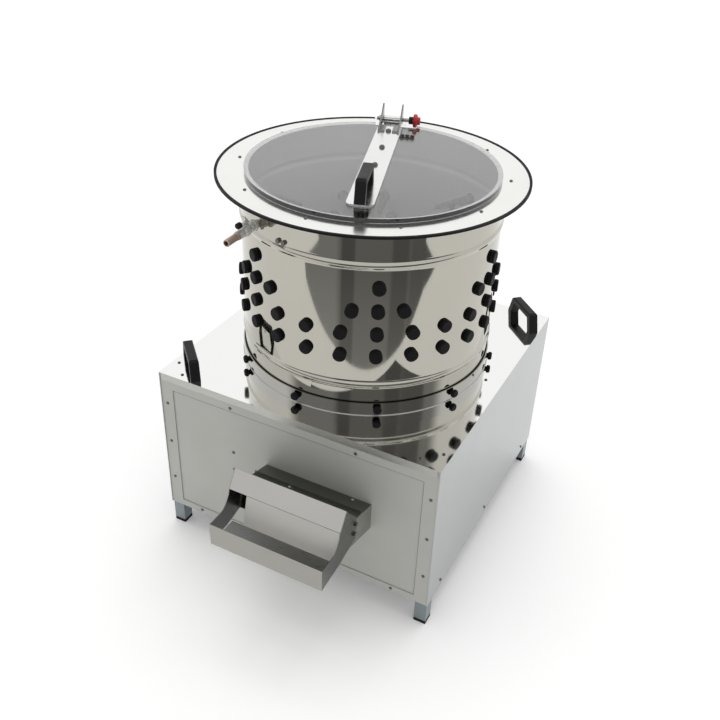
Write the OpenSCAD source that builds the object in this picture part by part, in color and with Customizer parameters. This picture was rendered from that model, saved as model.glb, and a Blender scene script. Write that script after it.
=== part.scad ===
// Drum poultry plucker: a drum lined with rubber fingers stands on a square sheet-steel cabinet.
// A finger plate at the foot of the drum is driven by a belt, a hinged clear lid closes the top,
// and a guarded chute at the front lets the feathers out.
// Frame: +Z up, the floor at z = 0, the chute towards -Y. All lengths are millimetres.
// Angles round the drum are counted from the front (-Y) towards the right (+X).

/* [Cabinet] */
// Width of the cabinet
cab_w = 600; // [590:5:680]
// Depth of the cabinet
cab_d = 600; // [590:5:680]
// Height of the top cover above the floor
cab_h = 390; // [385:5:450]
// Height of the panels' lower edge above the floor
panel_clear = 55; // [40:5:80]
// Thickness of the panel sheet
sheet = 1.5; // [1:0.25:2]
// Thickness of the top cover
cover_t = 2; // [1.5:0.25:3]
// Height of the lip folded down at the front and back of the top cover
lip_h = 16; // [12:1:24]
// Open gap between the end of a lip and the side panel
lip_gap = 4; // [2:0.5:8]
// Width of the front frame at its sides
frame_side = 30; // [28:1:45]
// Width of the front frame under the lip
frame_top = 20; // [16:1:30]
// Width of the front frame at its foot
frame_foot = 16; // [14:1:26]
// Overlap of the front panel behind its frame
panel_lap = 11; // [8:1:13]
// Width of the square leg tube
leg_w = 25; // [20:1:28]
// Wall of the leg tube
leg_wall = 2; // [1.5:0.25:3]
// Height of a foot cap below the leg tube
foot_h = 8; // [5:1:14]

/* [Drum] */
// Outside radius of the drum shell
drum_r = 246; // [236:0.5:250]
// Thickness of the drum shell
drum_t = 1.5; // [1:0.25:2]
// Height of the rim's top face above the top cover
rim_up = 380; // [365:5:450]
// Height of the drum's lower edge above the top cover
drum_foot = 4; // [2:0.5:6]
// Step from the drum out to the outside of the collar that it stands in
collar_out = 4; // [3:0.5:12]
// Height of the collar above the top cover
collar_h = 27; // [24:1:34]
// Wall of the collar
collar_t = 2; // [1.5:0.25:2.5]
// Width of the collar's flange under the top cover
collar_flange = 18; // [12:1:22]
// Height of the lower bead above the top cover
bead_low = 65; // [55:1:80]
// Height of the upper bead above the top cover
bead_high = 306; // [295:1:320]
// Width of a bead
bead_w = 14; // [10:1:18]
// Height that a bead stands out
bead_out = 3; // [1.5:0.25:4]
// Reach of the flat rim outside the drum
rim_out = 42.5; // [34:0.5:55]
// Reach of the flat rim inside the drum
rim_in = 16; // [10:0.5:20]
// Thickness of the flat rim
rim_t = 2; // [1.5:0.25:3]
// Distance of the rim screws outside the drum
rim_screw_out = 6.5; // [5:0.5:17]
// Number of rim screws
rim_screws_n = 10; // [8:1:12]
// Height of the rubber edge trim
trim_h = 4; // [3.5:0.5:12]
// Reach of the edge trim over the rim
trim_lap = 2.5; // [2:0.5:9]
// Wall of the edge trim outside the rim
trim_wall = 2.5; // [2:0.5:5]
// Height of the seal between the drum and the collar
seal_h = 5; // [3:0.5:6]
// Number of rubber buffers that hold the drum
buffers_n = 10; // [8:1:12]
// Height of the buffers above the top cover
buffer_up = 16; // [13:1:18]
// Radius of a buffer
buffer_r = 8; // [7:0.5:10]
// Length of a buffer
buffer_len = 10; // [8:1:28]
// Radius of a buffer's stud
stud_r = 2.5; // [2:0.25:3]

/* [Fingers] */
// Number of fingers in a full row
finger_cols = 24; // [20:1:26]
// Number of pyramids of extra fingers above the full rows
pyramids_n = 6; // [4:1:6]
// Angle between the fingers of a pyramid's third row
pyramid_step = 10.6; // [10:0.1:14]
// Height of the lowest row above the top cover
row_low = 127; // [122:1:140]
// Height between two rows
row_pitch = 45.8; // [40:0.1:52]
// Radius of a finger's outer head
head_r = 12.2; // [11:0.1:14]
// Height of a finger's outer head
head_h = 8; // [7:0.5:16]
// Rounding of the head's outer edge
head_round = 2.5; // [1:0.5:4]
// Radius of the finger's neck in its hole
neck_r = 9; // [7:0.5:10]
// Radius of the finger's inner collar
hold_r = 11.5; // [10.5:0.5:12.5]
// Length of the finger inside the wall
finger_len = 92; // [70:1:95]
// Radius of the finger's tip
tip_r = 5.5; // [4:0.5:7]
// Number of ribs along a finger
ribs_n = 6; // [4:1:9]
// Height of a rib
rib_out = 0.8; // [0.5:0.1:1.2]

/* [Finger plate and drive] */
// Gap between the turning finger plate and the drum's outside
plate_gap = 16; // [8:1:24]
// Thickness of the finger plate
plate_t = 5; // [4:0.5:8]
// Height of the plate's underside above the top cover
plate_up = 8; // [6:0.5:12]
// Distance of the outer ring of plate fingers from the plate's edge
ring_out_in = 35; // [25:1:45]
// Radius of the middle ring of plate fingers
ring_mid_r = 130; // [120:1:140]
// Radius of the inner ring of plate fingers
ring_in_r = 72; // [68:1:80]
// Radius of the hub under the plate
hub_r = 42; // [34:1:48]
// Height of the hub
hub_h = 22; // [16:1:24]
// Radius of the drive shaft
shaft_r = 12.5; // [10:0.5:15]
// Outside radius of a shaft bearing
bearing_r = 26; // [23:0.5:30]
// Height of a shaft bearing
bearing_h = 15; // [12:1:18]
// Outside radius of the bearing tube
tube_r = 36; // [34:0.5:42]
// Radius of the bearing tube's flange
tube_flange_r = 60; // [55:1:68]
// Thickness of the bearing tube's flange
tube_flange_t = 10; // [8:1:14]
// Size of the square cross rails
rail_w = 30; // [25:1:35]
// Wall of the cross rails
rail_wall = 2; // [1.5:0.25:3]
// Distance of each rail from the shaft
rail_y = 45; // [42:1:50]
// Height of the rails' top face below the top cover
rail_down = 158; // [150:1:160]
// Running face radius of the large pulley
big_r = 136; // [110:1:150]
// Running face radius of the motor pulley
small_r = 27; // [22:1:34]
// Width of a pulley
pulley_w = 22; // [20:1:28]
// Height of a pulley's side flanges
pulley_lip = 5; // [4.5:0.5:7]
// Thickness of the large pulley's web
web_t = 8; // [6:1:12]
// Height of the pulleys' lower face below the top cover
pulley_down = 230; // [225:1:240]
// Width of the belt
belt_w = 16; // [12:1:17]
// Thickness of the belt
belt_t = 4; // [3:0.5:4.5]
// Radius of the motor body
motor_r = 60; // [52:1:62]
// Height of the motor body
motor_h = 160; // [130:1:170]
// Radius of the motor shaft
motor_shaft_r = 9.5; // [7:0.5:12]
// Thickness of the motor plate
motor_plate_t = 5; // [4:0.5:8]

/* [Feather pan] */
// Depth of the pan's floor below the top cover, at the front
pan_front_down = 192; // [186:1:194]
// Depth of the pan's floor below the top cover, at the back
pan_back_down = 70; // [55:5:90]

/* [Lid] */
// Overlap of the lid on the rim
lid_lap = 9; // [5:0.5:14]
// Thickness of the lid
lid_t = 8; // [5:0.5:10]
// Angle of the strap and hinge round the drum
lid_turn = 18.6; // [0:0.2:30]
// Distance of the strap and hinge to the right of the drum's centre line
strap_side = 4; // [0:0.5:6]
// Width of the strap across the lid
strap_w = 48.5; // [46:0.5:60]
// Thickness of the strap
strap_t = 3; // [2:0.5:5]
// Distance of the strap's front end from the drum
strap_front_in = 53; // [31:1:76]
// Distance of the strap's rear end from the drum
strap_back_in = 39; // [34:1:46]
// Rounding of the strap's front corners
strap_round = 12; // [6:1:20]
// Distance of the rear strap screw from the strap's rear end
strap_screw_in = 30; // [22:1:37]
// Spacing of the strap screws
strap_screw_pitch = 93.5; // [80:0.5:94]
// Distance of the hinge pin behind the strap
pin_behind = 34; // [31:0.5:39]
// Height of the hinge pin above the rim
pin_up = 15.5; // [15:0.5:22]
// Radius of the hinge pin
pin_r = 4; // [3:0.25:5]
// Outside radius of the hinge knuckle
knuckle_r = 7; // [6.5:0.25:8]
// Height of the hinge ears above the pin
ear_up = 30; // [20:1:34]
// Thickness of the hinge ears
ear_t = 3; // [2:0.5:3]
// Radius of the red knob on the pin
knob_r = 13.5; // [10:0.5:14]

/* [Bridge handles] */
// Length of a handle over its feet
grip_len = 106; // [96:1:120]
// Length of a handle along its top
grip_top = 80; // [70:1:90]
// Height of a handle
grip_h = 40; // [32:1:48]
// Width of a handle
grip_w = 19; // [16:1:26]
// Thickness of a handle's bar and legs
grip_bar = 11; // [8:1:14]
// Rounding of a handle's edges
grip_round = 4; // [2:0.5:6]
// Distance of a carry handle from the cabinet's corner, along each edge
grip_inset = 46; // [42:1:60]
// Distance of the lid handle's front foot from the end of the strap
grip_lid_gap = 0.5; // [0:0.5:8]

/* [Chute] */
// Distance of the chute's middle to the right of the drum
chute_x = 57.5; // [0:0.5:60]
// Width of the chute hood
chute_w = 228; // [200:1:245]
// Height of the chute hood
chute_h = 57; // [48:1:60]
// Depth of the hood's lower edge below the top cover
chute_down = 193; // [190:1:200]
// Upward tilt of the hood
chute_tilt = 14; // [8:0.5:15]
// Length of the hood
hood_len = 98; // [92:1:110]
// Reach of the guard in front of the cabinet
guard_reach = 184; // [175:1:200]
// Height of the guard's front wall
guard_h = 47; // [40:1:60]
// Depth of the folded edge on the guard's front wall
guard_hem = 28; // [20:1:50]
// Distance of the stiffening lip on the hood from the panel
hood_lip = 56; // [40:1:70]
// Height of the stiffening lip on the hood
hood_lip_h = 5; // [3:0.5:8]
// Gap between the left arm and the folded edge
hem_gap = 29; // [10:1:50]
// Height of the curtain plate under the flap
curtain_h = 70; // [40:1:80]
// Gap between the left arm and the curtain plate
curtain_gap = 36; // [20:1:80]

/* [Water inlet] */
// Distance of the inlet to the left of the drum's centre
inlet_x = 115; // [105:1:125]
// Height of the inlet above the top cover
inlet_up = 328; // [326:1:340]
// Radius of the hose tail
hose_r = 6.5; // [5:0.25:9]
// Length of the hose tail
hose_len = 34; // [24:1:40]
// Length of the valve body
valve_len = 46; // [42:1:60]
// Radius of the valve body
valve_r = 9; // [8:0.5:12]
// Radius of the inlet socket through the drum
socket_r = 7; // [6:0.5:8]

/* [Switch] */
// Distance of the switch box to the right of the drum's centre
switch_x = 150; // [100:5:200]
// Depth of the switch box's middle below the top cover
switch_down = 105; // [90:5:150]
// Width of the switch box
switch_w = 70; // [64:1:90]
// Height of the switch box
switch_h = 110; // [100:1:130]
// Depth of the switch box
switch_d = 48; // [40:1:60]
// Radius of a push button
button_r = 11; // [9:0.5:13]
// Height that a button stands out
button_out = 7; // [6:0.5:9]
// Travel of a button
button_travel = 4; // [3:0.5:5]

/* [Fits] */
// Gap between two parts that move past each other
run_gap = 0.3; // [0.2:0.05:0.5]
// Radial clearance of a turning shaft in its hole
shaft_gap = 0.05; // [0.03:0.01:0.08]
// Radial clearance of a fixed part in its hole
fix_gap = 0.1; // [0.05:0.05:0.2]

/* [Hidden] */
$fn = 64;
eps = 0.01;
far = 1000;

// Radii and distances that follow the drum
collar_r = drum_r + collar_out;
rim_r = drum_r + rim_out;
rim_screw_r = drum_r + rim_screw_out;
plate_r = drum_r - plate_gap;
ring_out_r = plate_r - ring_out_in;
strap_front = drum_r - strap_front_in;
strap_back = drum_r - strap_back_in;
strap_screw_back = strap_back - strap_screw_in;
pin_back = strap_back + pin_behind;

// Heights
cover_under = cab_h - cover_t;
rim_z = cab_h + rim_up;
rim_under = rim_z - rim_t;
lid_z = rim_z + run_gap;
lid_top = lid_z + lid_t;
strap_z = lid_top + strap_t;
pin_z = rim_z + pin_up;
plate_z = cab_h + plate_up;
rail_z = cab_h - rail_down;
inlet_z = cab_h + inlet_up;
pulley_z = cab_h - pulley_down;
pan_front_z = cab_h - pan_front_down;
pan_back_z = cab_h - pan_back_down;
chute_z = cab_h - chute_down;
switch_z = cab_h - switch_down;

// Reach to the front and back of the drum's axis, and the axis' place midway between them
front_reach = cab_d / 2 + guard_reach;
back_reach = cab_d / 2 + switch_d + button_out;
axis_y = (front_reach - back_reach) / 2;

// Faces of the cabinet, counted from the drum's axis
side_in = cab_w / 2 - sheet;
lip_face = cab_d / 2;
frame_face = lip_face - sheet;
front_face = frame_face - sheet;
front_in = front_face - sheet;
back_in = frame_face - sheet;
window_half = cab_w / 2 - frame_side;
window_low = panel_clear + frame_foot;
window_high = cab_h - lip_h - frame_top;
leg_x = side_in - leg_w / 2;
leg_front_y = front_in - leg_w / 2;
leg_back_y = back_in - leg_w / 2;

// Small screws
screw_head_r = 3.2;
screw_head_h = 1.8;
screw_shank_r = 1.6;
screw_len = 7;
frame_screw_x = cab_w / 2 - 14;
frame_screw_step = 95;
frame_screw_top = 71;
frame_screw_in = 135;
foot_screw_in = 222;
foot_screw_z = panel_clear + 8;
side_screw_step = 237;
side_screw_z = panel_clear + 15;
cover_screw_edge = 15;
cover_screw_corner = 46;
cover_screw_side = 34;
panel_screw_x = 191;
panel_screw_zs = [chute_z + chute_h, chute_z + 14];

// Drum fingers: the pyramids stand over the finger column nearest the front right
finger_first = 30.4;
buffer_first = 32;
drum_inner = drum_r - drum_t;
rim_hole = drum_inner - rim_in;
lid_r = rim_hole + lid_lap;
hold_h = 3;
pan_r = collar_r - collar_t - 0.2;
pan_top = cab_h + 2;
seal_top = collar_h - 1;

// Finger plate and drive
plate_fingers = [[ring_out_r, 18], [ring_mid_r, 10], [ring_in_r, 5]];
shaft_low = pulley_z - 20;
hub_z = plate_z - hub_h;
tube_top = hub_z - 4;
motor_gap = 5;
motor_dist = pan_r + motor_gap + motor_r;
motor_side = min(motor_dist * cos(45), side_in - motor_r - motor_gap / 2);
motor_rear = min(sqrt(motor_dist * motor_dist - motor_side * motor_side), back_in - motor_r - motor_gap / 2);
motor_plate_z = pulley_z + pulley_w + 8;
motor_z = motor_plate_z + motor_plate_t;
motor_plate_side = 30;
belt_gap = 0.4;
belt_z = pulley_z + (pulley_w - belt_w) / 2;

// Lid and hinge, in the frame turned to the strap
notch_back = strap_back + 10;
notch_left = 34;
notch_right = 52;
ear_x = 19.7;
knuckle_len = 2 * (ear_x - ear_t / 2 - 0.7);
ear_front = strap_back - 35;
ear_foot_w = 12;
ear_low_r = 9;
leaf_back = pin_back + 43;
leaf_front = rim_hole + 2;
leaf_half = 26;
leaf_screw = [12, pin_back + 23];
spacer_r = 7.5;
spacer_from = 34;
spacer_len = 8;
knob_from = spacer_from + spacer_len + 1;
knob_disc = 8;
knob_cap = 6;
sensor_size = [29, 13, 2];
sensor_at = [strap_w / 2 + 1, strap_back - 53];
strap_screw_ys = [for (i = [0:2]) strap_screw_back - i * strap_screw_pitch];
grip_lid_y = -strap_front + grip_lid_gap + grip_len / 2;

// Chute
arm_left = chute_x - chute_w / 2;
arm_right = chute_x + chute_w / 2;
wall_y = -front_reach;
hem_up = 56;
hem_z = chute_z + hem_up;

// Names of the separate pieces

steel = [0.80, 0.80, 0.79];
polished = [0.86, 0.86, 0.84];
black = [0.07, 0.07, 0.08];
paint = [0.28, 0.32, 0.36];

// Shared shapes

// Everything is drawn round the drum's axis and set in place here
module placed() translate([0, axis_y, 0]) children();

// Turns its children round the drum, counted from the front towards the right
module around(angle) rotate([0, 0, angle]) children();

// Points local +Z away from the drum's axis, at radius r and height z
module radial(angle, r, z) around(angle) translate([0, -r, z]) rotate([90, 0, 0]) children();

// The frame of the strap and the hinge
module on_strap() rotate([0, 0, lid_turn]) translate([strap_side, 0, 0]) children();

module block(low, high) translate(low) cube(high - low);

// A small screw: head above z = 0, shank below
module screw(len = screw_len) {
    rotate_extrude() polygon([
        [0, -len], [screw_shank_r, -len], [screw_shank_r, 0], [screw_head_r, 0],
        [screw_head_r, 0.4 * screw_head_h], [0.7 * screw_head_r, screw_head_h], [0, screw_head_h]
    ]);
}

module screw_hole(len = screw_len) translate([0, 0, -len - 1])
    cylinder(r = screw_shank_r + fix_gap, h = len + 2);

// Sites of the small cabinet screws, each with local +Z out of the panel
module frame_screw_sites() {
    for (side = [-1, 1], i = [0:2])
        translate([side * frame_screw_x, -frame_face, cab_h - frame_screw_top - i * frame_screw_step])
            rotate([90, 0, 0]) children();
    for (side = [-1, 1]) {
        translate([side * frame_screw_in, -frame_face, window_high + 8]) rotate([90, 0, 0]) children();
        translate([side * foot_screw_in, -frame_face, foot_screw_z]) rotate([90, 0, 0]) children();
    }
}

module panel_screw_sites() {
    for (z = panel_screw_zs) translate([chute_x - panel_screw_x, -front_face, z])
        rotate([90, 0, 0]) children();
}

module side_screw_sites(side) {
    for (i = [-1:1])
        translate([side * cab_w / 2, i * side_screw_step, side_screw_z]) rotate([0, side * 90, 0]) children();
}

module back_screw_sites() {
    for (i = [-1:1]) translate([i * side_screw_step, frame_face, side_screw_z])
        rotate([-90, 0, 0]) children();
}

module cover_screw_sites() {
    for (sx = [-1, 1], sy = [-1, 1]) {
        translate([sx * (cab_w / 2 - cover_screw_edge), sy * (cab_d / 2 - cover_screw_corner), cab_h])
            children();
        translate([sx * (cab_w / 2 - cover_screw_corner), sy * (cab_d / 2 - cover_screw_edge), cab_h])
            children();
    }
    for (sx = [-1, 1]) translate([sx * (cab_w / 2 - cover_screw_side), 0, cab_h]) children();
}

// Cabinet

module leg_sites() {
    for (side = [-1, 1]) {
        translate([side * leg_x, -leg_front_y, 0]) children();
        translate([side * leg_x, leg_back_y, 0]) children();
    }
}

module legs() color(steel) placed() leg_sites() difference() {
    block([-leg_w / 2, -leg_w / 2, foot_h], [leg_w / 2, leg_w / 2, cover_under]);
    block([-leg_w / 2 + leg_wall, -leg_w / 2 + leg_wall, 0],
          [leg_w / 2 - leg_wall, leg_w / 2 - leg_wall, cab_h]);
}

module foot_caps() color(black) placed() leg_sites() {
    plug = leg_w / 2 - leg_wall - fix_gap;
    block([-leg_w / 2, -leg_w / 2, 0], [leg_w / 2, leg_w / 2, foot_h]);
    block([-plug, -plug, foot_h - 1], [plug, plug, foot_h + 14]);
}

module top_cover() color(polished) placed() difference() {
    union() {
        block([-cab_w / 2, -cab_d / 2, cover_under], [cab_w / 2, cab_d / 2, cab_h]);
        for (side = [-1, 1]) scale([1, side, 1])
            block([lip_gap - side_in, -lip_face, cab_h - lip_h], [side_in - lip_gap, -frame_face, cab_h - 1]);
    }
    translate([0, 0, cover_under - 1]) cylinder(r = collar_r + fix_gap, h = cover_t + 2, $fn = 128);
    cover_screw_sites() screw_hole();
}

module side_panel(side) difference() {
    block([min(side * side_in, side * cab_w / 2), -cab_d / 2, panel_clear],
          [max(side * side_in, side * cab_w / 2), cab_d / 2, cover_under]);
    side_screw_sites(side) screw_hole();
}

module left_panel() color(steel) placed() side_panel(-1);

module right_panel() color(steel) placed() side_panel(1);

module back_panel() color(steel) placed() difference() {
    block([-side_in, back_in, panel_clear], [side_in, frame_face, cover_under]);
    back_screw_sites() screw_hole();
}

module front_frame() color(steel) placed() difference() {
    block([-side_in, -frame_face, panel_clear], [side_in, -front_face, cover_under]);
    block([-window_half, -far, window_low], [window_half, far, window_high]);
    frame_screw_sites() screw_hole();
}

module front_panel() color(steel) placed() difference() {
    block([-window_half - panel_lap, -front_face, window_low - panel_lap],
          [window_half + panel_lap, -front_in, window_high + panel_lap]);
    block([arm_left + sheet, -far, chute_z + sheet], [arm_right - sheet, far, chute_z + chute_h - sheet]);
    panel_screw_sites() screw_hole();
    frame_screw_sites() screw_hole();
}

module cabinet_screws() color([0.35, 0.35, 0.35]) placed() {
    frame_screw_sites() screw(2 * sheet);
    panel_screw_sites() screw(sheet);
    side_screw_sites(-1) screw(sheet);
    side_screw_sites(1) screw(sheet);
    back_screw_sites() screw(sheet);
    cover_screw_sites() screw(cover_t);
}

// Drum

module buffer_sites(r) {
    for (i = [0:buffers_n - 1]) radial(buffer_first + i * 360 / buffers_n, r, cab_h + buffer_up) children();
}

module drum_collar() color(polished) placed() difference() {
    rotate_extrude($fn = 128) polygon([
        [collar_r - collar_t, cover_under - collar_t], [collar_r + collar_flange, cover_under - collar_t],
        [collar_r + collar_flange, cover_under], [collar_r, cover_under],
        [collar_r, cab_h + collar_h], [collar_r - collar_t, cab_h + collar_h]
    ]);
    buffer_sites(collar_r - 10) cylinder(r = stud_r + fix_gap, h = 20);
}

// The black seal that fills the gap between the drum and the collar
module drum_seal() color(black) placed() translate([0, 0, cab_h + seal_top - seal_h]) difference() {
    cylinder(r = collar_r - collar_t - fix_gap, h = seal_h, $fn = 128);
    translate([0, 0, -1]) cylinder(r = drum_r + fix_gap, h = seal_h + 2, $fn = 128);
}

// A rubber buffer: a short neck on the collar and a round cap
module drum_buffers() color(black) placed() buffer_sites(collar_r + 0.15) difference() {
    rotate_extrude($fn = 32) polygon([
        [0, 0], [0.66 * buffer_r, 0], [0.62 * buffer_r, 1.5], [buffer_r - 1, 2.8], [buffer_r, 3.8],
        [buffer_r, buffer_len - 2], [buffer_r - 2, buffer_len], [0, buffer_len]
    ]);
    translate([0, 0, -1]) cylinder(r = stud_r + fix_gap, h = buffer_len - 3);
}

module buffer_studs() color(steel) placed() buffer_sites(drum_r + 0.2)
    cylinder(r = stud_r, h = collar_r - drum_r + buffer_len - 6);

// Half profile of a rolled bead, from below to above
function bead(r, z) = [for (t = [0:22.5:180]) [r + bead_out * sin(t), z + bead_w * (t / 180 - 0.5)]];

function drum_line(r) = concat(
    [[r, cab_h + drum_foot]], bead(r, cab_h + bead_low), bead(r, cab_h + bead_high), [[r, rim_under]]
);

// Angles of the fingers in each row
full_row = [for (i = [0:finger_cols - 1]) finger_first + i * 360 / finger_cols];
third_row = [for (i = [0:pyramids_n - 1], j = [-1:1]) finger_first + i * 360 / pyramids_n + j * pyramid_step];
fourth_row = [for (i = [0:pyramids_n - 1]) finger_first + i * 360 / pyramids_n];
rows = [full_row, full_row, third_row, fourth_row];

module finger_sites(row, r) {
    for (angle = rows[row]) radial(angle, r, cab_h + row_low + row * row_pitch) children();
}

module drum_shell() color(polished) placed() difference() {
    rotate_extrude($fn = 128) polygon(concat(drum_line(drum_r), [
        for (i = [len(drum_line(drum_inner)) - 1:-1:0]) drum_line(drum_inner)[i]
    ]));
    for (row = [0:3]) finger_sites(row, drum_r - 10) cylinder(r = neck_r + fix_gap, h = 20, $fn = 32);
    drum_bolt_sites(drum_r - 10) cylinder(r = 2.5 + fix_gap, h = 20);
    translate([-inlet_x, 0, inlet_z]) rotate([90, 0, 0])
        cylinder(r = socket_r + run_gap, h = drum_r, $fn = 32);
}

// Height that a flat collar must stand off the inside of the drum
hold_sag = drum_inner - sqrt(drum_inner * drum_inner - hold_r * hold_r);

// A rubber plucking finger: head out of the wall at z > 0, ribbed finger inside at z < 0
module finger(wall, sag) {
    root = -wall - sag - fix_gap;
    shoulder = root - hold_h;
    taper = finger_len - hold_h - tip_r;
    rotate_extrude($fn = 32) polygon(concat(
        [[0, head_h]],
        [for (t = [90:-30:0])
            [head_r - head_round + head_round * cos(t), head_h - head_round + head_round * sin(t)]],
        [[head_r, fix_gap], [neck_r, fix_gap], [neck_r, root], [hold_r, root], [hold_r, shoulder]],
        [for (i = [0:ribs_n - 1], step = [0, 0.5])
            [neck_r + (tip_r - neck_r) * (i + step) / ribs_n + (step == 0 ? rib_out : 0),
             shoulder - taper * (i + step) / ribs_n]],
        [for (t = [0:30:90]) [tip_r * cos(t), shoulder - taper - tip_r * sin(t)]]
    ));
}

module drum_fingers(rows) for (row = rows) finger_sites(row, drum_r) finger(drum_t, hold_sag);

module lower_fingers() color(black) placed() drum_fingers([0, 1]);

module upper_fingers() color(black) placed() drum_fingers([2, 3]);

// Two bolts through the drum above the upper bead
drum_bolt_angles = [-13.4, -10.4];
drum_bolt_up = bead_high + bead_w / 2 + 6;

module drum_bolt_sites(r) {
    for (angle = drum_bolt_angles) radial(angle, r, cab_h + drum_bolt_up) children();
}

module drum_bolts() color([0.2, 0.2, 0.2]) placed() drum_bolt_sites(drum_r + fix_gap) {
    cylinder(r = 4.6, h = 4, $fn = 6);
    translate([0, 0, -drum_t - 4]) cylinder(r = 2.5, h = drum_t + 5);
}

// Rim

module rim_screw_sites() {
    for (i = [0:rim_screws_n - 1]) around(1 + i * 360 / rim_screws_n)
        translate([0, -rim_screw_r, rim_z]) children();
}

module leaf_screw_sites(z) {
    on_strap() for (side = [-1, 1]) translate([side * leaf_screw[0], leaf_screw[1], z]) children();
}

module drum_rim() color(polished) placed() difference() {
    translate([0, 0, rim_under]) cylinder(r = rim_r, h = rim_t, $fn = 128);
    translate([0, 0, rim_under - 1]) cylinder(r = rim_hole, h = rim_t + 2, $fn = 128);
    on_strap() block([-notch_left, leaf_back, rim_under - 1], [notch_right, far, rim_z + 1]);
    rim_screw_sites() screw_hole();
    leaf_screw_sites(rim_z) screw_hole();
}

// The edge trim stops on each side of the hinge
trim_angle = asin((notch_left + 4) / rim_r);
trim_angle_right = asin((notch_right + 4) / rim_r);

module rim_trim() color(black) placed() rotate([0, 0, 90 + lid_turn + trim_angle])
    rotate_extrude(angle = 360 - trim_angle - trim_angle_right, $fn = 128) difference() {
        translate([rim_r - trim_lap, rim_z - rim_t / 2 - trim_h / 2]) square([trim_lap + trim_wall, trim_h]);
        translate([rim_r - trim_lap - 1, rim_under - fix_gap])
            square([trim_lap + 1 + fix_gap, rim_t + 2 * fix_gap]);
    }

module rim_screws() color([0.4, 0.4, 0.4]) placed() {
    rim_screw_sites() screw(rim_t);
    leaf_screw_sites(rim_z + 2) screw(rim_t + 2);
}

// Hinge: the leaf is screwed to the rim and its rolled knuckle holds the pin
module along_pin(from) on_strap() translate([from, pin_back, pin_z]) rotate([0, 90, 0]) children();

module hinge_leaf() color(steel) placed() difference() {
    union() {
        on_strap() block([-leaf_half, leaf_front, rim_z], [leaf_half, leaf_back - 1, rim_z + 2]);
        on_strap() block([-knuckle_len / 2, pin_back - 2, rim_z + 1],
                         [knuckle_len / 2, pin_back + 2, pin_z - pin_r - 1]);
        along_pin(-knuckle_len / 2) cylinder(r = knuckle_r, h = knuckle_len);
    }
    along_pin(-knuckle_len) cylinder(r = pin_r + shaft_gap, h = 2 * knuckle_len);
    leaf_screw_sites(rim_z + 2) screw_hole();
}

// Water inlet, lying along -Y on the left of the drum
nut_r = 11;
inlet_wall = sqrt(drum_r * drum_r - pow(inlet_x - nut_r, 2));
nut_from = inlet_wall + 1;
nut_len = 6.5;
valve_from = nut_from + nut_len;
hose_from = valve_from + valve_len;
lever_at = valve_from + 0.4 * valve_len;
stem_r = 3;
stem_top = inlet_z + valve_r + 5;

module inlet(from) translate([-inlet_x, -from, inlet_z]) rotate([90, 0, 0]) children();

module inlet_socket() color([0.55, 0.55, 0.52]) placed() {
    inlet(inlet_wall - 24) cylinder(r = socket_r, h = 26);
    inlet(nut_from) cylinder(r = nut_r, h = nut_len, $fn = 6);
}

module valve_body() color([0.62, 0.62, 0.64]) placed() {
    inlet(valve_from) rotate_extrude() polygon([
        [0, 0], [valve_r - 1, 0], [valve_r - 1, 8], [valve_r - 2.5, 10], [valve_r, 14], [valve_r + 1.5, 20],
        [valve_r, 27], [valve_r - 2, 31], [valve_r - 1, 33], [valve_r - 1, valve_len], [0, valve_len]
    ]);
    translate([-inlet_x, -lever_at, inlet_z]) cylinder(r = stem_r + 1.5, h = stem_top - 2.5 - inlet_z);
}

module hose_tail() color([0.68, 0.55, 0.46]) placed() difference() {
    inlet(hose_from) rotate_extrude() polygon([
        [0, 0], [valve_r - 2, 0], [valve_r - 2, 4], [hose_r, 5], [hose_r, hose_len - 1.5],
        [hose_r - 1, hose_len], [0, hose_len]
    ]);
    inlet(hose_from + 8) cylinder(r = hose_r - 2, h = hose_len);
}

// The lever lies along the pipe when the valve is open. It has a bent-up tab and a black grip.
module lever_place() translate([-inlet_x, -lever_at, stem_top]) children();

tab_tilt = 42;
tab_len = 20.5;
tab_foot = [5.8, 0];
tab_tip = tab_foot + tab_len * [-sin(tab_tilt), cos(tab_tilt)];
tab_inner = tab_tip - 2 * [cos(tab_tilt), sin(tab_tilt)];
tab_root = [tab_inner[0] + (tab_inner[1] - 2) * tan(tab_tilt), 2];

module valve_lever() color([0.75, 0.75, 0.75]) placed() lever_place() {
    translate([0, 0, -2.2]) cylinder(r = stem_r, h = 3);
    translate([-3.5, 0, 0]) rotate([90, 0, 90]) linear_extrude(7)
        polygon([[-22, 0], tab_foot, tab_tip, tab_inner, tab_root, [-22, 2]]);
}

module lever_grip() color(black) placed() lever_place() difference() {
    translate([0, -17.5, 3]) rotate([90, 0, 0]) rotate_extrude($fn = 32)
        polygon([[0, 0], [4, 0], [5.5, 1.5], [5.5, 9], [3.5, 11], [0, 11]]);
    block([-3.5 - fix_gap, -22 - fix_gap, -fix_gap], [3.5 + fix_gap, 0, 2 + fix_gap]);
}

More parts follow.
